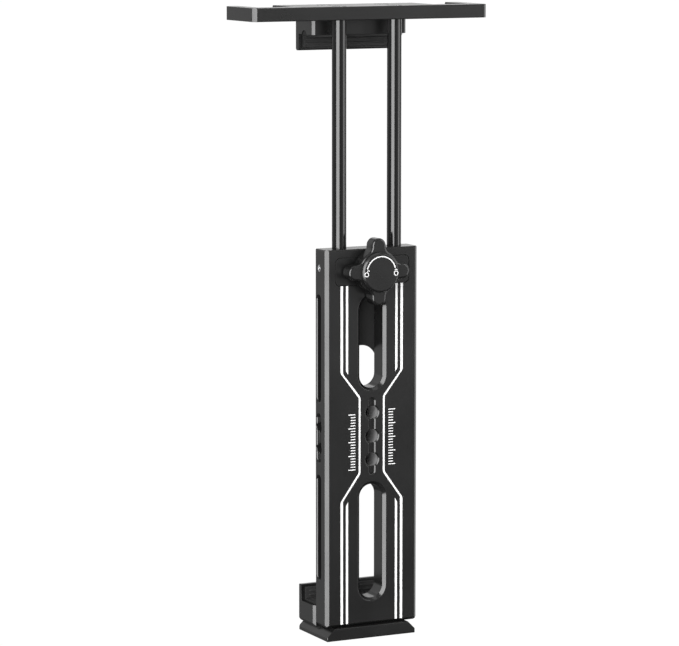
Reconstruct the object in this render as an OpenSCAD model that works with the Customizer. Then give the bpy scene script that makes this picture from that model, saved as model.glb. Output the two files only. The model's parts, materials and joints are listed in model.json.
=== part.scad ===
// Telescoping tablet clamp for a tripod: a slotted aluminium back with two sliding rods,
// an upper and a lower jaw, a four-lobed locking knob and a dovetail foot.
// Millimetres. +X right, +Y from the knob towards the tablet, +Z up.
// The origin is the mouth of the tripod hole in the foot's underside.

/* [Body] */
// Width of the body
body_w = 38.8; // [38:0.1:42]
// Thickness of the body, front to back
body_t = 9.1; // [9:0.1:11]
// Distance from the tripod hole forward to the front face
body_front = 10.4; // [10.2:0.1:11]
// Height of the top of the body above the ground
body_top = 148.4; // [146:0.1:156]
// Chamfer along the two front vertical edges
body_edge = 1.3; // [0.8:0.1:1.6]
// Chamfer along the lower edge of the front face
body_toe = 1.1; // [0.6:0.1:1.4]

/* [Centre slots] */
// Width of the two slots on the centre line
slot_w = 9.65; // [8:0.05:10]
// Chamfer around the slots
slot_edge = 1.15; // [0.6:0.05:1.3]
// Lowest point of the lower slot, without its chamfer
low_slot_z = 14.85; // [14:0.05:17]
// Length of the lower slot
low_slot_l = 43.8; // [38:0.1:45]
// Lowest point of the upper slot, without its chamfer
high_slot_z = 95.45; // [94:0.05:98]
// Length of the upper slot
high_slot_l = 34.55; // [28:0.05:35]

/* [Threaded holes] */
// Minor radius of a quarter inch, 20 per inch thread
tripod_r = 2.55; // [2.5:0.01:2.6]
// Height of the middle front hole
front_hole_z = 77.15; // [74:0.05:80]
// Distance between neighbouring front holes
front_hole_pitch = 9; // [8.5:0.1:9.5]
// Minor radius of the M5 side holes
side_hole_r = 2.1; // [2:0.05:2.2]
// Height midway between the two side holes
side_hole_z = 76.85; // [74:0.05:80]
// Distance between the two side holes
side_hole_pitch = 8.1; // [7.5:0.1:9]
// Depth of the side holes
side_hole_depth = 3.95; // [3.5:0.05:4.1]

/* [Foot] */
// Width of the foot, left to right
foot_w = 37.6; // [37:0.1:38.4]
// Depth of the foot, front to back
foot_d = 24.7; // [24.5:0.1:25]
// How far the foot sits to the left of the body's middle
foot_shift = 1.1; // [0:0.1:1.2]
// Height of the foot
foot_h = 4.7; // [4.5:0.1:5]
// Height of the upright lip of the dovetail
foot_lip = 1.5; // [1.2:0.1:1.6]

/* [Rods] */
// Radius of the two rods
rod_r = 2.725; // [2.6:0.005:2.75]
// Distance between the two rods
rod_pitch = 23.05; // [22.5:0.05:24]
// Height of the lower end of the rods
rod_foot_z = 102.5; // [100:0.5:108]

/* [Jaws] */
// Height of the lower jaw's seat for the tablet
seat_z = 12.3; // [12:0.1:14]
// Opening between the seats of the two jaws
opening_h = 214.9; // [205:0.1:225]
// Distance from the tripod hole back to the lower jaw's front
jaw_front = 0.3; // [0.1:0.1:0.5]
// Distance from the tripod hole back to the lower jaw's rear
jaw_back = 13.9; // [13.5:0.1:14.5]
// Distance from the tripod hole back to the rear of the upper plate and upper jaw
plate_back = 14.8; // [14.2:0.1:15]
// Thickness of the lip that holds the tablet
lip_t = 2.8; // [2:0.1:3]
// Reach of the lip past the seat
lip_h = 5.5; // [4:0.1:7]
// Width of the upper jaw
upper_jaw_w = 39.4; // [38:0.1:42]

/* [Upper plate] */
// Width of the upper plate
plate_w = 97.4; // [94:0.1:102]
// Thickness of the upper plate
plate_t = 5.1; // [5:0.1:6]
// Distance from the middle of the plate to each accessory shoe
shoe_x = 36.5; // [35:0.1:37]
// Width between the side walls of a shoe
shoe_w = 18.7; // [18.6:0.05:18.8]
// Width of a shoe's open top
shoe_gap = 14.6; // [12.5:0.1:15]
// Height of a shoe's channel
shoe_h = 2.1; // [2:0.05:2.2]
// Length of a shoe's channel
shoe_l = 18.2; // [18:0.1:18.5]

/* [Knob] */
// Height of the knob's axis
knob_z = 140; // [139:0.1:141]
// Radius over the four lobes
knob_r = 12.7; // [12:0.1:13.5]
// Radius of a lobe's round end
lobe_r = 2.9; // [2.6:0.1:3.1]
// Radius of the knob's hub
hub_r = 8.3; // [8:0.1:8.8]
// Thickness of the lobes
knob_t = 5.2; // [5:0.1:6]
// Radius of the cap on the knob
cap_r = 7.6; // [7:0.1:7.9]
// Height of the cap
cap_t = 1.5; // [1.2:0.1:2]

/* [Hidden] */
$fn = 64;
eps = 0.05;
gap = 0.05;
low_slot = [low_slot_z, low_slot_z + low_slot_l];
high_slot = [high_slot_z, high_slot_z + high_slot_l];
foot_left = -foot_w / 2 - foot_shift;
foot_right = foot_w / 2 - foot_shift;
foot_inset = foot_h - foot_lip;
shoulder_z = 3.1;
shoulder_edge = 1.5;
face_y = -body_front;
back_y = face_y + body_t;
rod_x = rod_pitch / 2;
rod_y = face_y + body_t / 2 + 0.25;
rod_bore_r = rod_r + 0.04;
bush_r = 3.5;
bush_z = [121, 131];
collar_h = 4;
side_y = back_y - 2.9;
side_slot_w = 3.2;
side_slot_edge = 0.4;
side_slot_depth = 3;
side_slots = [[22.7, 62.5], [90.7, 131]];
front_groove_w = 2;
front_groove_edge = 0.45;
front_groove_depth = 1;
front_groove_l = 28.7;
hole_edge = 0.45;
side_groove_l = 18.2;
side_groove_depth = 1;
// The upper hole of each pair is drilled this much deeper
side_hole_extra = 0.5;
plate_z = 233.6;
plate_top = plate_z + plate_t;
socket_top = plate_z + 2.6;
upper_seat_z = seat_z + opening_h;
pad_t = 0.7;
jaw_edge = 1;
key_y = 7.4;
key_z = upper_seat_z + 0.1;
key_r = 2.05;
shoe_floor = plate_top - 1.4 - shoe_h;
shoe_y = plate_back - shoe_l;
insert_r = 4.1;
flange_r = 5.1;
flange_t = 1;
mouth_edge = 0.3;
stud_well_r = 3.4;
stud_well_top = foot_h + 3.5;
screw_r = 1.45;
screw_head_r = 2.8;
screw_head_h = 1.6;
screw_sink = 0.1;
foot_screw_spots = [[5.9, -7.2], [12.5, 7.6]];
foot_screw_l = 9;
jaw_screw_x = 12;
jaw_screw_y = 6;
pocket_w = 30.8;
pocket_h = 10.4;
pocket_r = 2;
pocket_depth = 2.9;
clamp_front = face_y + 0.15;
clamp_fit = 0.1;
washer_t = 0.95;
knob_back = clamp_front - washer_t;
knob_front = knob_back - knob_t;
cap_edge = 0.7;
stud_r = 2.45;
stud_hole_r = 2.75;
stud_head_z = 1.8;
stud_head_h = 3.3;
nut_af = 8;
nut_t = 4;
lobe_centre = knob_r - lobe_r;
hollow_r = 2.6;
// centre of a hollow, which touches the hub's circle and the lobe's straight side
hollow_side = lobe_r + hollow_r;
hollow_out = sqrt(pow(hub_r + hollow_r, 2) - pow(hollow_side, 2));
hollow_end = atan2(hollow_side, hollow_out);
side_screw_z = 141.2;
side_screw_r = 1.4;
pad_hole_top = 110.6;

BLACK = [0.09, 0.09, 0.095];
ROD_BLACK = [0.13, 0.13, 0.14];
RUBBER = [0.05, 0.05, 0.05];
STEEL = [0.62, 0.63, 0.65];
BRASS = [0.72, 0.58, 0.3];
NYLON = [0.85, 0.84, 0.8];

// ---------- shapes that repeat ----------

// A rectangle whose corners are cut at 45 degrees, given per corner:
// lower left, lower right, upper right, upper left.
module cut_rect(x0, x1, y0, y1, c) {
    polygon([
        [x0 + c[0], y0], [x1 - c[1], y0], [x1, y0 + c[1]], [x1, y1 - c[2]],
        [x1 - c[2], y1], [x0 + c[3], y1], [x0, y1 - c[3]], [x0, y0 + c[0]]
    ]);
}

// Extrusions along each axis, from a to b
module along_z(a, b) { translate([0, 0, a]) linear_extrude(b - a) children(); }
module along_x(a, b) { translate([a, 0, 0]) rotate([90, 0, 90]) linear_extrude(b - a) children(); }
module along_y(a, b) { translate([0, b, 0]) rotate([90, 0, 0]) linear_extrude(b - a) children(); }

// A block from corner a to corner b with 45 degree edges: f front uprights, r rear uprights,
// t around the top and u around the underside.
module slab(a, b, f, r, t, u) {
    intersection() {
        along_z(a[2], b[2]) cut_rect(a[0], b[0], a[1], b[1], [f, f, r, r]);
        along_x(a[0], b[0]) cut_rect(a[1], b[1], a[2], b[2], [u, 0.3, t, t]);
        along_y(a[1], b[1]) cut_rect(a[0], b[0], a[2], b[2], [u, u, t, t]);
    }
}

module cyl_z(x, y, r, a, b) { translate([x, y, a]) cylinder(r = r, h = b - a); }
module cyl_y(x, z, r, a, b) { translate([x, b, z]) rotate([90, 0, 0]) cylinder(r = r, h = b - a); }
module cyl_x(y, z, r, a, b) { translate([a, y, z]) rotate([0, 90, 0]) cylinder(r = r, h = b - a); }

// A straight slot with round ends, cut along -Z from z = 0, standing upright along Y,
// with a 45 degree edge at its mouth. y0 and y1 are its ends.
module slot_tool(w, y0, y1, depth, edge) {
    r = w / 2;
    for (y = [y0 + r, y1 - r]) {
        translate([0, y, -depth]) cylinder(r = r, h = depth + 1);
        translate([0, y, -edge]) cylinder(r1 = r, r2 = r + edge + 1, h = edge + 1);
    }
    translate([-r, y0 + r, -depth]) cube([w, y1 - y0 - w, depth + 1]);
    translate([0, y1 - r, 0]) rotate([90, 0, 0]) linear_extrude(y1 - y0 - w)
        polygon([[-r, -edge], [r, -edge], [r + edge + 1, 1], [-r - edge - 1, 1]]);
}

// The same slot standing upright in the front face, in the back face or in a side face
module front_slot(w, z0, z1, depth, edge) {
    translate([0, face_y, 0]) rotate([90, 0, 0]) slot_tool(w, z0, z1, depth, edge);
}
module rear_slot(w, z0, z1, depth, edge) {
    translate([0, back_y, 0]) rotate([90, 0, 180]) slot_tool(w, z0, z1, depth, edge);
}
module side_slot(side, w, z0, z1, depth, edge) {
    translate([side * body_w / 2, side_y, 0]) rotate([90, 0, side * 90]) slot_tool(w, z0, z1, depth, edge);
}

// A countersunk screw with its head up, its top at the origin and a hexagon socket
module csk_screw(l) {
    difference() {
        union() {
            translate([0, 0, -screw_head_h]) cylinder(r1 = screw_r, r2 = screw_head_r, h = screw_head_h);
            translate([0, 0, -l]) cylinder(r = screw_r, h = l - screw_head_h + eps);
        }
        translate([0, 0, -1]) cylinder(r = 1.15, h = 2, $fn = 6);
    }
}

// The hole that such a screw goes in, a little larger all round
module csk_hole(l) {
    sink = screw_head_h + screw_sink;
    translate([0, 0, -sink]) cylinder(r1 = screw_r + gap, r2 = screw_head_r + gap, h = screw_head_h);
    translate([0, 0, -screw_sink]) cylinder(r = screw_head_r + gap, h = 1);
    translate([0, 0, -l]) cylinder(r = screw_r + gap, h = l);
}

// Puts its children at each foot screw, head down, at the foot's underside
module at_foot_screws(lift = 0) {
    for (side = [-1, 1], spot = foot_screw_spots)
        translate([side * spot[0], spot[1], lift]) rotate([180, 0, 0]) children();
}

module at_rods(z) { for (side = [-1, 1]) translate([side * rod_x, rod_y, z]) children(); }

module at_jaw_screws(z) {
    for (side = [-1, 1]) translate([side * jaw_screw_x, jaw_screw_y, z]) children();
}

// The ring of a shaft's guide
module bush(r_out, r_in, h) {
    difference() {
        cylinder(r = r_out, h = h);
        translate([0, 0, -1]) cylinder(r = r_in, h = h + 2);
    }
}

// ---------- body ----------

module body_cuts() {
    // centre slots, with an edge on both faces; the pad closes the upper part of the upper slot
    for (s = [low_slot, high_slot]) {
        front_slot(slot_w, s[0], s[1], body_t + 1, slot_edge);
        rear_slot(slot_w, s[0], s[1], 2, slot_edge);
    }
    // three tripod holes in a shallow groove
    front_slot(front_groove_w, front_hole_z - front_groove_l / 2, front_hole_z + front_groove_l / 2,
        front_groove_depth, front_groove_edge);
    for (i = [-1:1]) {
        z = front_hole_z + i * front_hole_pitch;
        cyl_y(0, z, tripod_r, face_y - 1, back_y + 1);
        translate([0, face_y, z]) rotate([90, 0, 0])
            translate([0, 0, -hole_edge])
                cylinder(r1 = tripod_r, r2 = tripod_r + hole_edge + 1, h = hole_edge + 1);
    }
    // lightening slots and M5 holes in both sides
    for (side = [-1, 1]) {
        for (s = side_slots) side_slot(side, side_slot_w, s[0], s[1], side_slot_depth, side_slot_edge);
        side_slot(side, side_slot_w, side_hole_z - side_groove_l / 2, side_hole_z + side_groove_l / 2,
            side_groove_depth, side_slot_edge);
        for (i = [-1, 1]) {
            z = side_hole_z + i * side_hole_pitch / 2;
            side_x = side * body_w / 2;
            translate([side_x, side_y, z]) rotate([0, side * 90, 0]) {
                side_depth = side_hole_depth + (i > 0 ? side_hole_extra : 0);
                translate([0, 0, -side_depth]) cylinder(r = side_hole_r, h = side_depth + 1);
                translate([0, 0, -mouth_edge])
                    cylinder(r1 = side_hole_r, r2 = side_hole_r + mouth_edge + 1, h = mouth_edge + 1);
            }
        }
    }
}

module rod_bores() {
    at_rods(0) {
        translate([0, 0, bush_z[1]]) cylinder(r = rod_bore_r, h = body_top - bush_z[1] + 1);
        translate([0, 0, foot_h - 1]) cylinder(r = bush_r + 0.02, h = bush_z[1] - foot_h + 1);
    }
}

// Pocket of the clamp plate, the hole of the knob's stud and the hexagon of its nut
module clamp_pocket() {
    along_y(face_y - 1, face_y + pocket_depth) pocket_outline(clamp_fit);
    cyl_y(0, knob_z, stud_hole_r, face_y, back_y);
    translate([0, back_y + 1, knob_z]) rotate([90, 0, 0])
        cylinder(r = (nut_af / 2 + gap) / cos(30), h = nut_t + 1, $fn = 6);
}

module pocket_outline(grow) {
    w = pocket_w / 2 + grow;
    h = pocket_h / 2 + grow;
    r = pocket_r;
    translate([0, knob_z]) union() {
        translate([-w + r, -h]) square([2 * (w - r), 2 * h]);
        translate([-w, -h + r]) square([2 * w, 2 * (h - r)]);
        for (i = [-1, 1], j = [-1, 1]) translate([i * (w - r), j * (h - r)]) circle(r = r);
    }
}

module side_screw_holes() {
    for (side = [-1, 1]) translate([side * body_w / 2, side_y, side_screw_z]) rotate([0, -side * 90, 0])
        translate([0, 0, -1]) cylinder(r = side_screw_r + gap, h = body_w / 2 - rod_x);
}

module body() {
    color(BLACK) difference() {
        slab([-body_w / 2, face_y, foot_h], [body_w / 2, back_y, body_top], body_edge, 0.4, 0.4, body_toe);
        body_cuts();
        rod_bores();
        clamp_pocket();
        side_screw_holes();
        at_foot_screws() translate([0, 0, -foot_h - 8]) cylinder(r = screw_r + gap, h = 9);
        cyl_z(0, 0, stud_well_r, foot_h - 1, stud_well_top);
    }
}

// ---------- foot ----------

// Profile of the dovetail seen from the front. grow makes the flanks and the foot larger for
// the space that the lower jaw's shoulders leave around them.
module dovetail_profile(grow) {
    edge = 0.3;
    polygon([
        [foot_left - grow + edge, 0], [foot_right + grow - edge, 0], [foot_right + grow, edge],
        [foot_right + grow, foot_lip], [foot_right + grow - foot_inset, foot_h],
        [foot_left - grow + foot_inset, foot_h], [foot_left - grow, foot_lip], [foot_left - grow, edge]
    ]);
}

module dovetail_foot() {
    front = -foot_d / 2 + 0.05;
    color(BLACK) difference() {
        intersection() {
            along_y(front, front + foot_d) dovetail_profile(0);
            along_x(foot_left, foot_right) cut_rect(front, front + foot_d, 0, foot_h, [0.3, 0.3, 0.2, 0.2]);
            along_z(0, foot_h)
                cut_rect(foot_left, foot_right, front, front + foot_d, [0.3, 0.5, 0.5, 0.5]);
        }
        at_foot_screws() csk_hole(foot_h + 1);
        cyl_z(0, 0, insert_r + gap, -1, foot_h + 1);
        cyl_z(0, 0, flange_r + gap, foot_h - flange_t - gap, foot_h + 1);
    }
}

// Flanged steel insert with the tripod thread
module tripod_insert() {
    color(STEEL) difference() {
        union() {
            cyl_z(0, 0, insert_r, 0, foot_h);
            cyl_z(0, 0, flange_r, foot_h - flange_t, foot_h);
        }
        cyl_z(0, 0, tripod_r, -1, foot_h + 1);
        translate([0, 0, -1]) cylinder(r1 = tripod_r + mouth_edge + 1, r2 = tripod_r, h = 1 + mouth_edge);
    }
}

module foot_screws() {
    color(STEEL) at_foot_screws(screw_sink) csk_screw(foot_screw_l);
}

// ---------- lower jaw ----------

// Profile of a jaw across its width: a flat seat and a lip at the far edge, drawn with the seat
// at v = 0, the mouth above it and the metal below, h thick.
module jaw_profile(y0, y1, h) {
    lip = y1 - lip_t;
    polygon([
        [y0, -h], [y1 - 0.4, -h], [y1, -h + 0.4], [y1, lip_h - 0.9], [y1 - 0.9, lip_h],
        [lip + 0.5, lip_h], [lip, lip_h - 0.5], [lip, -pad_t], [y0, -pad_t]
    ]);
}

module lower_jaw() {
    w = body_w / 2;
    top = seat_z + lip_h;
    color(BLACK) difference() {
        intersection() {
            translate([0, 0, seat_z]) along_x(-w, w) jaw_profile(jaw_front, jaw_back, seat_z - shoulder_z);
            along_z(shoulder_z, top) cut_rect(-w, w, jaw_front, jaw_back, [jaw_edge, jaw_edge, 0.8, 0.8]);
            // the lower side edges are cut away in line with the dovetail's flanks
            along_y(jaw_front, jaw_back)
                cut_rect(-w, w, shoulder_z, top, [shoulder_edge, shoulder_edge, 0.2, 0.2]);
        }
        along_y(jaw_front - 1, jaw_back + 1) dovetail_profile(gap);
        at_foot_screws() translate([0, 0, -foot_h - 6]) cylinder(r = screw_r + gap, h = 7);
        cyl_z(0, 0, stud_well_r, foot_h - 1, stud_well_top);
    }
}

// Rubber lining: over the seat and up the inside of the lip
module jaw_pad_profile(y0, y1) {
    lip = y1 - lip_t;
    polygon([
        [y0 + 0.8, -pad_t], [lip, -pad_t], [lip, lip_h - 1], [lip - pad_t + 0.3, lip_h - 1],
        [lip - pad_t, lip_h - 1.3], [lip - pad_t, 0], [y0 + 0.8, 0]
    ]);
}

module lower_jaw_pad() {
    color(RUBBER) translate([0, 0, seat_z])
        along_x(-body_w / 2 + 1.5, body_w / 2 - 1.5) jaw_pad_profile(jaw_front, jaw_back);
}

// Rubber sheet behind the body; it leaves the lower slot and the lower part of the upper one open
module back_pad() {
    inset = 1.6;
    grow = slot_edge + 0.4;
    w = body_w / 2 - inset;
    foot = seat_z + 0.3;
    openings = [[low_slot[0] - grow, low_slot[1] + grow], [high_slot[0] - grow, pad_hole_top]];
    color(RUBBER) difference() {
        translate([-w, back_y, foot]) cube([2 * w, pad_t, body_top - inset - foot]);
        for (s = openings) translate([0, pad_t, 0])
            rear_slot(slot_w + 2 * grow, s[0], s[1], pad_t + 1, 0.2);
    }
}

// ---------- rods and their guides ----------

module rod(side) {
    color(ROD_BLACK) translate([side * rod_x, rod_y, 0]) difference() {
        translate([0, 0, rod_foot_z]) cylinder(r = rod_r, h = socket_top - gap - rod_foot_z);
        translate([0, 0, socket_top - 8]) cylinder(r = screw_r + gap, h = 9);
        translate([0, 0, rod_foot_z - 1]) cylinder(r = screw_r + gap, h = 9);
    }
}
module rod_left() { rod(-1); }
module rod_right() { rod(1); }

module rod_bush(side) {
    color(BRASS) translate([side * rod_x, rod_y, bush_z[0]])
        bush(bush_r, rod_bore_r, bush_z[1] - bush_z[0]);
}
module rod_bush_left() { rod_bush(-1); }
module rod_bush_right() { rod_bush(1); }

// Stop collar on the end of a rod, which meets the bush at full reach
module rod_collar(side) {
    color(STEEL) translate([side * rod_x, rod_y, rod_foot_z - 2]) difference() {
        cylinder(r = bush_r - 0.06, h = collar_h);
        translate([0, 0, 2]) cylinder(r = rod_r + gap / 2, h = collar_h);
        translate([0, 0, -1]) cylinder(r = screw_r + gap, h = collar_h);
    }
}
module rod_collar_left() { rod_collar(-1); }
module rod_collar_right() { rod_collar(1); }

module collar_screws() {
    color(STEEL) at_rods(rod_foot_z - 2) {
        cylinder(r = screw_r, h = 8);
        difference() {
            translate([0, 0, -1.5]) cylinder(r = 2.6, h = 1.5);
            translate([0, 0, -2]) cylinder(r = 1.2, h = 1.4, $fn = 6);
        }
    }
}

// ---------- upper plate and upper jaw ----------

// Channel of one accessory shoe, open upwards and at the back
module shoe_cut(x) {
    far = plate_back + 1;
    translate([x - shoe_w / 2, shoe_y, shoe_floor]) cube([shoe_w, far - shoe_y, shoe_h]);
    translate([x - shoe_gap / 2, shoe_y, shoe_floor]) cube([shoe_gap, far - shoe_y, plate_t]);
}

module upper_plate() {
    c = 1.45;
    color(BLACK) difference() {
        intersection() {
            along_z(plate_z, plate_top) cut_rect(-plate_w / 2, plate_w / 2, face_y, plate_back, [c, c, c, c]);
            along_x(-plate_w / 2, plate_w / 2)
                cut_rect(face_y, plate_back, plate_z, plate_top, [0.25, 0.25, 0.35, 0.35]);
        }
        for (side = [-1, 1]) shoe_cut(side * shoe_x);
        at_rods(plate_z - 1) cylinder(r = rod_r + gap / 2, h = socket_top - plate_z + 1);
        at_rods(plate_top) csk_hole(plate_t);
        at_jaw_screws(plate_top) csk_hole(plate_t + 1);
    }
}

module upper_jaw() {
    h = plate_z - upper_seat_z;
    w = upper_jaw_w / 2;
    color(BLACK) difference() {
        intersection() {
            translate([0, 0, upper_seat_z]) mirror([0, 0, 1])
                along_x(-w, w) jaw_profile(0, plate_back, h);
            along_z(upper_seat_z - lip_h, plate_z)
                cut_rect(-w, w, 0, plate_back, [jaw_edge, jaw_edge, 0.3, 0.3]);
        }
        at_jaw_screws(upper_seat_z + 2.2) cylinder(r = screw_r + gap, h = h);
        cyl_x(key_y, key_z, key_r + gap, -w - 1, w + 1);
    }
}

// Rubber lining of the upper jaw, held by a round key along its middle
module upper_jaw_pad() {
    w = upper_jaw_w / 2;
    color(RUBBER) {
        translate([0, 0, upper_seat_z]) mirror([0, 0, 1])
            along_x(-w + 1.5, w - 1.5) jaw_pad_profile(0, plate_back);
        intersection() {
            cyl_x(key_y, key_z, key_r, -w + 0.3, w - 0.3);
            translate([-w, 0, upper_seat_z + pad_t / 2]) cube([2 * w, plate_back, 4]);
        }
    }
}

module rod_screws() { color(STEEL) at_rods(plate_top - screw_sink) csk_screw(9); }

module jaw_screws() { color(STEEL) at_jaw_screws(plate_top - screw_sink) csk_screw(8); }

// ---------- lock ----------

// Plate that presses both rods; two hollows fit the rods
module clamp_plate() {
    color(BLACK) difference() {
        along_y(clamp_front, clamp_front + 2.6) pocket_outline(0);
        at_rods(knob_z - pocket_h) cylinder(r = rod_r + 0.03, h = 2 * pocket_h);
        cyl_y(0, knob_z, stud_hole_r, face_y - 1, back_y);
    }
}

module thrust_washer() {
    color(STEEL) translate([0, clamp_front, knob_z]) rotate([90, 0, 0]) bush(4.8, 2.7, washer_t);
}

// Outline of the knob: a hub, four round-ended lobes and hollow corners between them.
// Each quarter is one lobe end and the hollows beside it, mirrored about the lobe.
function arc(cx, cy, r, a0, a1, n) =
    [for (i = [0:n]) let (a = a0 + (a1 - a0) * i / n) [cx + r * cos(a), cy + r * sin(a)]];
function turn(p, a) = [p[0] * cos(a) - p[1] * sin(a), p[0] * sin(a) + p[1] * cos(a)];
lobe_points = concat(
    arc(hollow_out, -hollow_side, hollow_r, 180 - hollow_end, 90, 5),
    arc(lobe_centre, 0, lobe_r, -90, 90, 14),
    arc(hollow_out, hollow_side, hollow_r, -90, hollow_end - 180, 5)
);
knob_points = [for (q = [0:3], p = lobe_points) turn(p, 90 * q)];

module knob() {
    color(BLACK) translate([0, knob_back, knob_z]) rotate([90, 0, 0]) difference() {
        union() {
            linear_extrude(knob_t) polygon(knob_points);
            cylinder(r = hub_r, h = knob_t);
        }
        translate([0, 0, -1]) cylinder(r = stud_r + gap, h = knob_t + 2);
        translate([0, 0, stud_head_z]) cylinder(r = (nut_af / 2 + gap) / cos(30), h = knob_t, $fn = 6);
    }
}

module knob_cap() {
    color(BLACK) translate([0, knob_front, knob_z]) rotate([90, 0, 0]) {
        cylinder(r = cap_r, h = cap_t - cap_edge);
        translate([0, 0, cap_t - cap_edge]) cylinder(r1 = cap_r, r2 = cap_r - cap_edge, h = cap_edge);
    }
}

// Hexagon-headed M5 stud, held in the knob under the cap
module knob_stud() {
    reach = back_y - knob_back - 0.7;
    color(STEEL) translate([0, knob_back, knob_z]) rotate([90, 0, 0]) {
        translate([0, 0, stud_head_z]) cylinder(r = nut_af / 2 / cos(30), h = stud_head_h, $fn = 6);
        translate([0, 0, -reach]) cylinder(r = stud_r, h = reach + stud_head_z + eps);
    }
}

module stud_nut() {
    color(STEEL) translate([0, back_y, knob_z]) rotate([90, 0, 0]) difference() {
        cylinder(r = nut_af / 2 / cos(30), h = nut_t - gap, $fn = 6);
        translate([0, 0, -1]) cylinder(r = stud_r + gap, h = nut_t + 2);
    }
}

// Grub screws in the sides, each behind a nylon tip that steadies the rod
module side_screws() {
    color(STEEL) for (side = [-1, 1]) translate([side * (body_w / 2 - 0.2), side_y, side_screw_z])
        rotate([0, -side * 90, 0]) difference() {
            cylinder(r = side_screw_r, h = 3);
            translate([0, 0, -1]) cylinder(r = 0.85, h = 2.2, $fn = 6);
        }
}

module friction_tips() {
    color(NYLON) difference() {
        for (side = [-1, 1]) translate([side * (body_w / 2 - 3.2), side_y, side_screw_z])
            rotate([0, -side * 90, 0]) cylinder(r = side_screw_r, h = 2.6);
        at_rods(side_screw_z - 5) cylinder(r = rod_r + 0.05, h = 10);
    }
}

body();
dovetail_foot();
tripod_insert();
foot_screws();
lower_jaw();
lower_jaw_pad();
back_pad();
stud_nut();
side_screws();
friction_tips();
rod_bush_left();
rod_bush_right();
rod_left();
rod_right();
rod_collar_left();
rod_collar_right();
collar_screws();
upper_plate();
upper_jaw();
upper_jaw_pad();
rod_screws();
jaw_screws();
clamp_plate();
thrust_washer();
knob();
knob_cap();
knob_stud();
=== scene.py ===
"""Looks of the telescoping tablet mount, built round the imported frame.

Blender's lengths are metres. Sizes written in millimetres are turned into metres by MM or mm().
"""

import json
import math

import bmesh
import bpy
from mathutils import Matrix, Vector


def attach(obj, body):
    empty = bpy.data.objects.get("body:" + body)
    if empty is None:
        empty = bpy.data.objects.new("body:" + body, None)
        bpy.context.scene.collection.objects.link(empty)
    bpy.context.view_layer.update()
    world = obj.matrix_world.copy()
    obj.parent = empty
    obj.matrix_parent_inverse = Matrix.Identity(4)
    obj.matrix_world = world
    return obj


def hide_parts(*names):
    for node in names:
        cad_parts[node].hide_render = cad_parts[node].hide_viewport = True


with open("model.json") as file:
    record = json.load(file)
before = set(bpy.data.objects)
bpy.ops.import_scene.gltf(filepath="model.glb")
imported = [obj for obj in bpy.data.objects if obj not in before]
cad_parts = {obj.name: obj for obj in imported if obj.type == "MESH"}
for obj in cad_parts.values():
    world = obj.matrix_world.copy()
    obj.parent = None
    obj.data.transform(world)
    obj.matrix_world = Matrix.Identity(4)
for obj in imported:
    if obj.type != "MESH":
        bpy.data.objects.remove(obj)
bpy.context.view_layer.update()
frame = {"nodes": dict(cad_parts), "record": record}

MM = 0.001
FRONT = -10.4  # the body's front face, mm
KNOB_Z = 140.0
FRONT_HOLES = (86.15, 77.15, 68.15)  # heights of the tripod threads, mm
FRONT_HOLE_REACH = 2.7  # a face this near to a hole's axis is its wall
KNOB_FRONT = -16.39  # the edges of the knob's front face lie in front of this
KNOB_WAIST = 7.7  # edges further out than this belong to the outline
KNOB_RIM = 0.9  # radius of the knob's rounded edge
CAP_RIM = 0.16
CAP_EDGE = -17.5  # the cap's front rim lies in front of this
CAP_FRONT = -17.9


def mm(*v):
    """A point or length in millimetres, as metres."""
    return tuple(x * MM for x in v)


# ---------------------------------------------------------------- camera

YAW, PITCH = math.radians(26.396), math.radians(7.611)
scene = bpy.context.scene
camera = bpy.data.objects.new("camera", bpy.data.cameras.new("camera"))
scene.collection.objects.link(camera)
camera.location = (-0.5588, -1.1086, 0.2848)
ahead = Vector(
    (math.sin(YAW) * math.cos(PITCH), math.cos(YAW) * math.cos(PITCH), -math.sin(PITCH))
)
camera.rotation_mode = "QUATERNION"
camera.rotation_quaternion = ahead.to_track_quat("-Z", "Y")
camera.data.sensor_width = 36
camera.data.lens = 175.53
camera.data.clip_start = 0.01
scene.camera = camera
scene.view_settings.view_transform = "Standard"

# ---------------------------------------------------------------- light

TOWARDS = Vector((-0.445, -0.887, 0))  # from the object to the camera, on the level
ACROSS = Vector((0.896, -0.445, 0))  # to the viewer's right


def softbox(name, phi, away, width, height, z, radiance, tilt=0.0):
    """A softbox phi degrees to the right of the camera, that faces the object."""
    a = math.radians(phi)
    out = TOWARDS * math.cos(a) + ACROSS * math.sin(a)
    light = bpy.data.lights.new(name, "AREA")
    light.shape = "RECTANGLE"
    light.size, light.size_y = width, height
    light.energy = radiance * math.pi * width * height
    box = bpy.data.objects.new(name, light)
    box.location = out * away + Vector((0, 0, z))
    aim = -out + Vector((0, 0, tilt))
    box.rotation_mode = "QUATERNION"
    box.rotation_quaternion = aim.to_track_quat("-Z", "Y")
    box.visible_camera = False
    scene.collection.objects.link(box)
    return box


softbox("key", -20, 0.7, 0.62, 0.95, 0.27, 8.6)
softbox("side", 82, 0.7, 0.28, 0.9, 0.3, 4.0)
softbox("fill", 54, 0.75, 0.24, 0.75, 0.38, 0.45)
softbox("rim", 143, 0.9, 0.5, 1.0, 0.15, 0.7)
softbox("rear_left", -127, 0.9, 0.7, 1.0, 0.15, 0.2)
softbox("rear", 178, 0.9, 0.5, 0.9, 0.2, 0.9)
softbox("overhead", 180, 0.02, 0.9, 0.9, 1.1, 0.9, tilt=-40)


def shader_tree(owner):
    """The owner's shader nodes, emptied."""
    owner.use_nodes = True
    tree = owner.node_tree
    tree.nodes.clear()
    return tree


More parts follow.
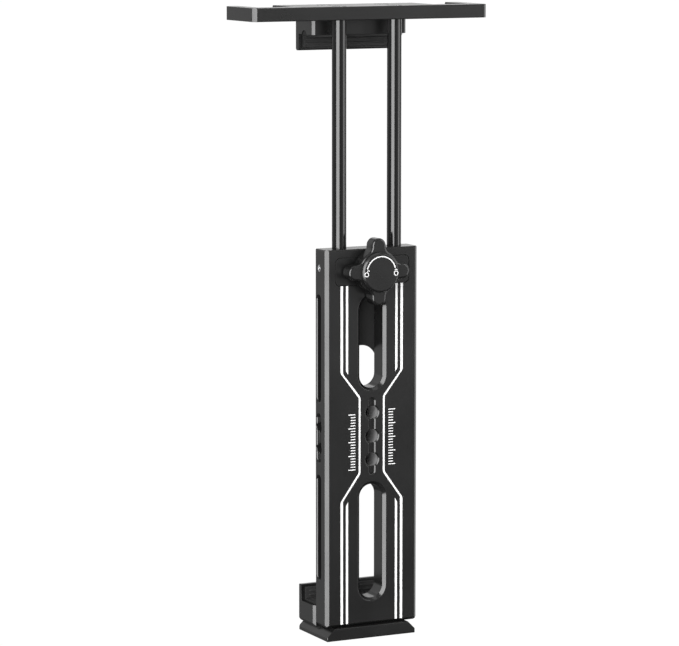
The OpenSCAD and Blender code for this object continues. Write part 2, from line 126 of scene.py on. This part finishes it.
def white_to_camera(tree, other, output):
    """The camera sees plain white, and everything else sees the other shader."""
    path = tree.nodes.new("ShaderNodeLightPath")
    mix = tree.nodes.new("ShaderNodeMixShader")
    white = tree.nodes.new(
        "ShaderNodeBackground"
        if output.bl_idname.endswith("World")
        else "ShaderNodeEmission"
    )
    white.inputs["Color"].default_value = (1, 1, 1, 1)
    white.inputs["Strength"].default_value = 1.02
    tree.links.new(path.outputs["Is Camera Ray"], mix.inputs[0])
    tree.links.new(other.outputs[0], mix.inputs[1])
    tree.links.new(white.outputs[0], mix.inputs[2])
    tree.links.new(mix.outputs[0], output.inputs["Surface"])


def open_from_below(tree):
    """Rays that meet the face from behind pass through it."""
    out = next(n for n in tree.nodes if n.bl_idname == "ShaderNodeOutputMaterial")
    front = out.inputs["Surface"].links[0].from_socket
    facing = tree.nodes.new("ShaderNodeNewGeometry")
    clear = tree.nodes.new("ShaderNodeBsdfTransparent")
    mix = tree.nodes.new("ShaderNodeMixShader")
    tree.links.new(facing.outputs["Backfacing"], mix.inputs[0])
    tree.links.new(front, mix.inputs[1])
    tree.links.new(clear.outputs[0], mix.inputs[2])
    tree.links.new(mix.outputs[0], out.inputs["Surface"])


world = bpy.data.worlds.new("studio")
scene.world = world
tree = shader_tree(world)
dim = tree.nodes.new("ShaderNodeBackground")
dim.inputs["Color"].default_value = (1, 1, 1, 1)
way = tree.nodes.new("ShaderNodeTexCoord")
split = tree.nodes.new("ShaderNodeSeparateXYZ")
level = tree.nodes.new("ShaderNodeMapRange")
level.inputs["From Min"].default_value = -0.45
level.inputs["From Max"].default_value = 0.1
level.inputs["To Min"].default_value = 0.07
level.inputs["To Max"].default_value = 0.40
tree.links.new(way.outputs["Generated"], split.inputs[0])
tree.links.new(split.outputs["Z"], level.inputs["Value"])
tree.links.new(level.outputs["Result"], dim.inputs["Strength"])
white_to_camera(tree, dim, tree.nodes.new("ShaderNodeOutputWorld"))

floor_mat = bpy.data.materials.new("floor")
tree = shader_tree(floor_mat)
pale = tree.nodes.new("ShaderNodeBsdfDiffuse")
pale.inputs["Color"].default_value = (0.42, 0.42, 0.42, 1)
white_to_camera(tree, pale, tree.nodes.new("ShaderNodeOutputMaterial"))
open_from_below(tree)
bm = bmesh.new()
bmesh.ops.create_circle(bm, cap_ends=True, segments=96, radius=0.55)
bm.normal_update()
for f in bm.faces:
    if f.normal.z < 0:
        f.normal_flip()
floor = bpy.data.objects.new("floor", bpy.data.meshes.new("floor"))
bm.to_mesh(floor.data)
bm.free()
floor.location.z = -0.0004
floor.data.materials.append(floor_mat)
scene.collection.objects.link(floor)
floor.visible_glossy = False
floor.visible_shadow = False

# ---------------------------------------------------------------- materials


def noise(tree, scale, detail=2.0, stretch=(1, 1, 1)):
    """Noise in object space, about 1/scale metres across, drawn out along an axis by stretch."""
    where = tree.nodes.new("ShaderNodeTexCoord")
    warp = tree.nodes.new("ShaderNodeMapping")
    warp.inputs["Scale"].default_value = stretch
    tex = tree.nodes.new("ShaderNodeTexNoise")
    tex.inputs["Scale"].default_value = scale
    tex.inputs["Detail"].default_value = detail
    tree.links.new(where.outputs["Object"], warp.inputs["Vector"])
    tree.links.new(warp.outputs["Vector"], tex.inputs["Vector"])
    return tex.outputs["Fac"]


def spread(tree, value, low, high, from_low=0.3, from_high=0.7):
    """A noise value taken to a range of numbers."""
    node = tree.nodes.new("ShaderNodeMapRange")
    node.inputs["From Min"].default_value = from_low
    node.inputs["From Max"].default_value = from_high
    node.inputs["To Min"].default_value = low
    node.inputs["To Max"].default_value = high
    tree.links.new(value, node.inputs["Value"])
    return node.outputs["Result"]


def finish(
    name,
    dark,
    light,
    rough,
    mottle=70,
    grain=5000,
    bump=0.25,
    height=0.00001,
    stretch=(1, 1, 1),
    metallic=0.0,
    ior=1.5,
    **sockets,
):
    """A finish whose colour and roughness drift over the part, with a fine surface grain."""
    mat = bpy.data.materials.new(name)
    tree = shader_tree(mat)
    out = tree.nodes.new("ShaderNodeOutputMaterial")
    bsdf = tree.nodes.new("ShaderNodeBsdfPrincipled")
    bsdf.inputs["Metallic"].default_value = metallic
    bsdf.inputs["IOR"].default_value = ior
    for socket, value in sockets.items():
        bsdf.inputs[socket.replace("_", " ")].default_value = value
    drift = noise(tree, mottle, 4.0)
    fine = noise(tree, grain, 2.0, stretch)
    ramp = tree.nodes.new("ShaderNodeMix")
    ramp.data_type = "RGBA"
    ramp.inputs["A"].default_value = (*dark, 1)
    ramp.inputs["B"].default_value = (*light, 1)
    both = tree.nodes.new("ShaderNodeMath")
    both.operation = "MULTIPLY_ADD"
    both.inputs[1].default_value = 0.45
    tree.links.new(spread(tree, fine, 0, 1), both.inputs[0])
    tree.links.new(spread(tree, drift, 0, 0.55), both.inputs[2])
    tree.links.new(both.outputs[0], ramp.inputs["Factor"])
    tree.links.new(ramp.outputs["Result"], bsdf.inputs["Base Color"])
    worn = noise(tree, mottle * 0.6, 3.0)
    tree.links.new(spread(tree, worn, *rough), bsdf.inputs["Roughness"])
    relief = tree.nodes.new("ShaderNodeBump")
    relief.inputs["Strength"].default_value = bump
    relief.inputs["Distance"].default_value = height
    tree.links.new(fine, relief.inputs["Height"])
    tree.links.new(relief.outputs["Normal"], bsdf.inputs["Normal"])
    tree.links.new(bsdf.outputs[0], out.inputs["Surface"])
    return mat


def grey(g):
    """An even grey as a colour."""
    return (g, g, g)


BLASTED = finish(
    "blasted_black",
    grey(0.0030),
    grey(0.0055),
    (0.27, 0.34),
    mottle=90,
    grain=4200,
    bump=0.35,
    height=0.000012,
)
CUT = finish(
    "cut_edge_black",
    grey(0.004),
    grey(0.008),
    (0.15, 0.21),
    mottle=140,
    grain=6000,
    bump=0.12,
    height=0.000006,
)
KNOB = finish(
    "satin_black",
    grey(0.0035),
    grey(0.0060),
    (0.15, 0.20),
    mottle=120,
    grain=4500,
    bump=0.3,
    height=0.00001,
)
TURNED = finish(
    "turned_black",
    grey(0.0035),
    grey(0.0060),
    (0.24, 0.30),
    mottle=150,
    grain=3000,
    bump=0.2,
    height=0.000008,
    stretch=(1, 0.04, 1),
)
ROD = finish(
    "polished_black",
    grey(0.003),
    grey(0.005),
    (0.09, 0.12),
    mottle=40,
    grain=9000,
    bump=0.03,
    height=0.000002,
    stretch=(0.05, 0.05, 1),
)
RUBBER = finish(
    "silicone",
    grey(0.002),
    grey(0.005),
    (0.62, 0.78),
    mottle=160,
    grain=2600,
    bump=0.5,
    height=0.00003,
)
STEEL = finish(
    "stainless",
    (0.58, 0.59, 0.60),
    (0.72, 0.72, 0.73),
    (0.20, 0.30),
    mottle=200,
    grain=2500,
    bump=0.25,
    height=0.00001,
    stretch=(1, 0.08, 1),
    metallic=1.0,
)
BRONZE = finish(
    "sintered_bronze",
    (0.42, 0.29, 0.13),
    (0.60, 0.44, 0.22),
    (0.32, 0.45),
    mottle=260,
    grain=3500,
    bump=0.4,
    height=0.00002,
    metallic=1.0,
)
NYLON = finish(
    "nylon",
    (0.70, 0.69, 0.64),
    (0.82, 0.81, 0.77),
    (0.42, 0.55),
    mottle=200,
    grain=2500,
    bump=0.3,
    height=0.00002,
    Subsurface_Weight=0.15,
)
INK = finish(
    "white_ink",
    grey(0.56),
    grey(0.66),
    (0.42, 0.55),
    mottle=350,
    grain=4000,
    bump=0.3,
    height=0.00001,
)

# Tapped hole walls. Their grey is a painted highlight: the light caught by the thread flanks, painted
# into the colour of black walls.
PAINTED_THREAD_SHEEN = finish(
    "tapped_painted_sheen",
    grey(0.10),
    grey(0.16),
    (0.34, 0.44),
    mottle=300,
    grain=800,
    bump=0.9,
    height=0.00008,
    stretch=(0.02, 1, 0.02),
)

SLOT_LOOK = {
    "anodised": BLASTED,
    "knob_black": KNOB,
    "rod_black": ROD,
    "rubber": RUBBER,
    "steel": STEEL,
    "bush_bronze": BRONZE,
    "nylon": NYLON,
    "print_white": INK,
}
NODE_SLOT = {s["node"]: s["material_slot"] for s in frame["record"]["subparts"]}
BODY_OF = {
    node: body
    for body, nodes in frame["record"]["behaviour"]["bodies"].items()
    for node in nodes
}

for node, obj in frame["nodes"].items():
    obj.data.materials.clear()
    obj.data.materials.append(SLOT_LOOK[NODE_SLOT[node]])

# ---------------------------------------------------------------- pieces that replace CAD nodes


def add_piece(name, bm, body, slot, *materials):
    """A finished mesh as a piece that rides on a body."""
    mesh = bpy.data.meshes.new(name)
    bm.to_mesh(mesh)
    bm.free()
    for mat in materials:
        mesh.materials.append(mat)
    obj = bpy.data.objects.new(name, mesh)
    scene.collection.objects.link(obj)
    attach(obj, body)
    return obj


def cad_copy(node):
    """The CAD node's mesh, welded and with its flat faces whole."""
    bm = bmesh.new()
    bm.from_mesh(frame["nodes"][node].data)
    bmesh.ops.remove_doubles(bm, verts=bm.verts, dist=1e-6)
    bmesh.ops.dissolve_limit(
        bm,
        angle_limit=math.radians(1),
        verts=bm.verts,
        edges=bm.edges,
        delimit=set(),
    )
    return bm


def soften(bm, radius, angle, segments=2, only=None):
    """Rounds the edges sharper than the angle, or those of them that only picks."""
    edges = [
        e
        for e in bm.edges
        if len(e.link_faces) == 2
        and e.calc_face_angle() > math.radians(angle)
        and (only is None or only(e))
    ]
    bmesh.ops.bevel(
        bm,
        geom=edges,
        offset=radius,
        offset_type="OFFSET",
        segments=segments,
        profile=0.5,
        affect="EDGES",
        clamp_overlap=False,
    )


def smooth(bm, angle=32):
    """Smooth shading, with the edges over the angle kept sharp."""
    for f in bm.faces:
        f.smooth = True
    for e in bm.edges:
        e.smooth = not (
            len(e.link_faces) == 2 and e.calc_face_angle() > math.radians(angle)
        )


def weigh_normals(obj):
    """Flat faces shade flat beside their rounded edges."""
    mod = obj.modifiers.new("normals", "WEIGHTED_NORMAL")
    mod.keep_sharp = True
    mod.weight = 50


def slanted(f):
    """True for a chamfer or a rounded face: one that faces along no axis."""
    return max(abs(x) for x in f.normal) < 0.985


def refine(node, *looks, pick=None, first=None, radius=0.1, angle=28):
    """A CAD node as a finished piece, its edges rounded and each face given one of the looks by pick."""
    bm = cad_copy(node)
    if first:
        first(bm)
    soften(bm, radius * MM, angle)
    bm.normal_update()
    smooth(bm)
    for f in bm.faces:
        f.material_index = pick(f) if pick else 0
    slot = NODE_SLOT[node]
    looks = looks or (SLOT_LOOK[slot],)
    obj = add_piece(node + ".shown", bm, BODY_OF[node], slot, *looks)
    weigh_normals(obj)
    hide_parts(node)
    return obj


def cut_or_blasted(f):
    """Chamfers and rounded edges are machined after blasting."""
    return 1 if slanted(f) else 0


def body_faces(f):
    """Also finds the walls of the tapped holes in the front, which get a lighter grey that is a painted
    highlight from their threads.
    """
    c = f.calc_center_median() / MM
    for z in FRONT_HOLES:
        if math.hypot(c.x, c.z - z) < FRONT_HOLE_REACH and abs(f.normal.y) < 0.3:
            return 2
    return cut_or_blasted(f)


def round_knob_rim(bm):
    """The knob's front outline has a full rounded edge."""

    def rim(e):
        return all(
            v.co.y < KNOB_FRONT * MM
            and math.hypot(v.co.x, v.co.z - KNOB_Z * MM) > KNOB_WAIST * MM
            for v in e.verts
        )

    soften(bm, KNOB_RIM * MM, 60, segments=5, only=rim)


def round_cap_rim(bm):
    """The cap's front rim is rounded."""

    def rim(e):
        return all(v.co.y < CAP_EDGE * MM for v in e.verts)

    soften(bm, CAP_RIM * MM, 30, segments=3, only=rim)


refine("body", BLASTED, CUT, PAINTED_THREAD_SHEEN, pick=body_faces)
for node in ("dovetail_foot", "lower_jaw", "upper_plate", "upper_jaw", "clamp_plate"):
    refine(node, BLASTED, CUT, pick=cut_or_blasted)
refine("knob", KNOB, first=round_knob_rim)
refine("knob_cap", TURNED, first=round_cap_rim, radius=0.05)
for node in (
    "rod_left",
    "rod_right",
    "back_pad",
    "lower_jaw_pad",
    "upper_jaw_pad",
    "side_screws",
    "foot_screws",
    "jaw_screws",
    "rod_screws",
    "stud_nut",
    "tripod_insert",
    "thrust_washer",
    "rod_collar_left",
    "rod_collar_right",
):
    refine(node)


RIB_WIDTH, RIB_HEIGHT = 0.9, 0.25
RIB_SINK = 0.1  # how far a rib's root goes into its pad
RIB_ARC_STEPS = 5


def rib(bm, x0, x1, place, width, height):
    """A low half-round rib along X. place turns (across, up) in mm into (y, z) in mm."""
    turns = [math.pi * k / RIB_ARC_STEPS for k in range(RIB_ARC_STEPS + 1)]
    ring = [(-math.cos(t) * width / 2, math.sin(t) * height) for t in turns]
    ring = [(-width / 2, -RIB_SINK), *ring, (width / 2, -RIB_SINK)]
    stations = (
        (x0, 0.3),
        (x0 + 0.25, 0.8),
        (x0 + 0.6, 1),
        (x1 - 0.6, 1),
        (x1 - 0.25, 0.8),
        (x1, 0.3),
    )
    rings = []
    for x, share in stations:
        loop = []
        for across, up in ring:
            y, z = place(across * (0.6 + 0.4 * share), up * share if up > 0 else up)
            loop.append(bm.verts.new(mm(x, y, z)))
        rings.append(loop)
    n = len(ring)
    for a, b in zip(rings, rings[1:]):
        for i in range(n):
            j = (i + 1) % n
            bm.faces.new((a[i], a[j], b[j], b[i]))
    bm.faces.new(rings[0][::-1])
    bm.faces.new(rings[-1])


def ribs(name, body, rows):
    """Rubber ribs in rows of (x0, x1, place), as one piece."""
    bm = bmesh.new()
    for x0, x1, place in rows:
        rib(bm, x0, x1, place, RIB_WIDTH, RIB_HEIGHT)
    bmesh.ops.recalc_face_normals(bm, faces=bm.faces)
    smooth(bm, 50)
    return add_piece(name, bm, body, "rubber", RUBBER)


def on_back(z):
    """A place on the back pad, which faces along +Y."""
    return lambda across, up: (-0.6 + up, z + across)


def on_seat(y, z, way):
    """A place on a jaw's seat, which faces up or down."""
    return lambda across, up: (y + across, z + way * up)


def on_lip(y, z):
    """A place on a jaw's lip, which faces along -Y."""
    return lambda across, up: (y - up, z + across)


ribs(
    "back_pad_ribs",
    "mount",
    [
        (x0, x1, on_back(16.0 + 2.4 * i))
        for i in range(54)
        for x0, x1 in ((-16.4, -7.4), (7.4, 16.4))
    ],
)
ribs(
    "lower_jaw_ribs",
    "mount",
    [(-16.4, 16.4, on_seat(y, 12.3, 1)) for y in (2.6, 4.7, 6.8, 8.9)]
    + [(-16.4, 16.4, on_lip(10.4, z)) for z in (13.6, 15.2)],
)
ribs(
    "upper_jaw_ribs",
    "telescope",
    [(-17.0, 17.0, on_seat(y, 227.2, -1)) for y in (2.4, 4.6, 6.8, 9.0)]
    + [(-17.0, 17.0, on_lip(11.3, z)) for z in (225.9, 224.3)],
)

# ---------------------------------------------------------------- printed marks

INK_T = 0.03  # how far the ink stands proud, mm
INK_SINK = 0.02  # how far it goes into the face
TICK_HALF = 0.17  # half a scale tick's thickness


def rounded(points, radius, steps=5):
    """The outline with its corners rounded where both sides are long enough."""
    out = []
    n = len(points)
    for i, p in enumerate(points):
        p = Vector(p)
        a, b = Vector(points[i - 1]) - p, Vector(points[(i + 1) % n]) - p
        room = min(a.length, b.length)
        r = radius[i] if isinstance(radius, (list, tuple)) else radius
        bend = a.angle(b)
        cut = min(r / math.tan(bend / 2), 0.45 * room) if r else 0
        if cut < 1e-4:
            out.append(tuple(p))
            continue
        p0, p1 = p + a.normalized() * cut, p + b.normalized() * cut
        for k in range(steps + 1):
            t = k / steps
            q = p0 * (1 - t) ** 2 + p * 2 * t * (1 - t) + p1 * t**2
            out.append(tuple(q))
    return out


def flat_mark(bm, outline, front):
    """A closed sliver of ink with this outline, in X and Z mm, on a face that looks along -Y."""
    near, far = front - INK_T, front + INK_SINK
    a = [bm.verts.new(mm(x, near, z)) for x, z in outline]
    b = [bm.verts.new(mm(x, far, z)) for x, z in outline]
    area = sum(
        p[0] * q[1] - q[0] * p[1] for p, q in zip(outline, outline[1:] + outline[:1])
    )
    if area < 0:
        a.reverse()
        b.reverse()
    bm.faces.new(a)
    bm.faces.new(list(reversed(b)))
    n = len(a)
    for i in range(n):
        j = (i + 1) % n
        bm.faces.new((a[j], a[i], b[i], b[j]))


def marks(name, body, outlines, front):
    """Printed shapes on one face, as one piece."""
    bm = bmesh.new()
    for outline in outlines:
        flat_mark(bm, outline, front)
    bmesh.ops.recalc_face_normals(bm, faces=bm.faces)
    return add_piece(name, bm, body, "print_white", INK)


def mirrored(outline, side):
    """The outline, turned over the middle line if side is -1."""
    return [(side * x, z) for x, z in outline]


SHIFT = -0.2  # how far along X the middle of the printed stripes is from the body's
OUT_0, OUT_1 = 12.1, 13.1  # the outer stripe's edges
IN_0, IN_1 = 9.95, 10.85  # the inner stripe's edges
WAIST_0, WAIST_1 = 4.75, 5.45  # the outer stripe's edges at the waist
waist = rounded(
    [
        (OUT_1, 134.7),
        (OUT_1, 101.8),
        (WAIST_1, 92.0),
        (WAIST_1, 63.4),
        (OUT_1, 52.7),
        (OUT_1, 5.8),
        (OUT_0, 5.8),
        (OUT_0, 53.0),
        (WAIST_0, 63.1),
        (WAIST_0, 92.3),
        (OUT_0, 101.5),
        (OUT_0, 134.7),
    ],
    [0, 1.6, 1.8, 1.8, 1.6, 0, 0, 1.2, 2.6, 2.6, 1.2, 0],
)
upper_stripe = [(IN_1, 134.7), (IN_1, 102.6), (IN_0, 101.2), (IN_0, 134.7)]
lower_stripe = [(IN_1, 51.0), (IN_1, 5.8), (IN_0, 5.8), (IN_0, 52.7)]
stripes = [
    [(x + SHIFT, z) for x, z in mirrored(shape, side)]
    for side in (-1, 1)
    for shape in (waist, upper_stripe, lower_stripe)
]
marks("face_stripes", "mount", stripes, FRONT)


def tick_column(inner, outer, z0, count, pitch):
    """Scale ticks up one side, every fifth one long."""
    sign = 1 if outer > inner else -1
    ticks = []
    for i in range(count):
        z = z0 + i * pitch
        reach = abs(outer - inner) * (1 if i % 5 == 0 else 0.66)
        x0, x1 = sorted((inner, inner + sign * reach))
        low, high = z - TICK_HALF, z + TICK_HALF
        ticks.append([(x0, low), (x1, low), (x1, high), (x0, high)])
    return ticks


marks(
    "face_ticks",
    "mount",
    tick_column(-7.1, -10.0, 64.8, 21, 1.05) + tick_column(6.9, 9.8, 65.9, 21, 1.05),
    FRONT,
)


def arc_band(x, z, r, width, start, end, steps=36):
    """A band along an arc, from start to end degrees."""
    turns = [math.radians(start + (end - start) * i / steps) for i in range(steps + 1)]
    outer, inner = r + width / 2, r - width / 2
    out = [(x + outer * math.cos(t), z + outer * math.sin(t)) for t in turns]
    back = [(x + inner * math.cos(t), z + inner * math.sin(t)) for t in turns]
    return out + back[::-1]


def padlock(x, z, swing):
    """A padlock pictogram, as outlines: a ring with its shackle shut, or swung aside."""
    ring = [arc_band(x, z, 0.78, 0.27, start, start + 180, 14) for start in (0, 180)]
    return [*ring, arc_band(x + swing, z + 0.98, 0.48, 0.25, 20, 170, 12)]


marks(
    "cap_marks",
    "knob",
    [arc_band(0, KNOB_Z, 6.0, 0.38, 14, 166)]
    + padlock(-6.15, KNOB_Z - 0.5, 0.75)
    + padlock(6.15, KNOB_Z - 0.5, 0.0),
    CAP_FRONT,
)
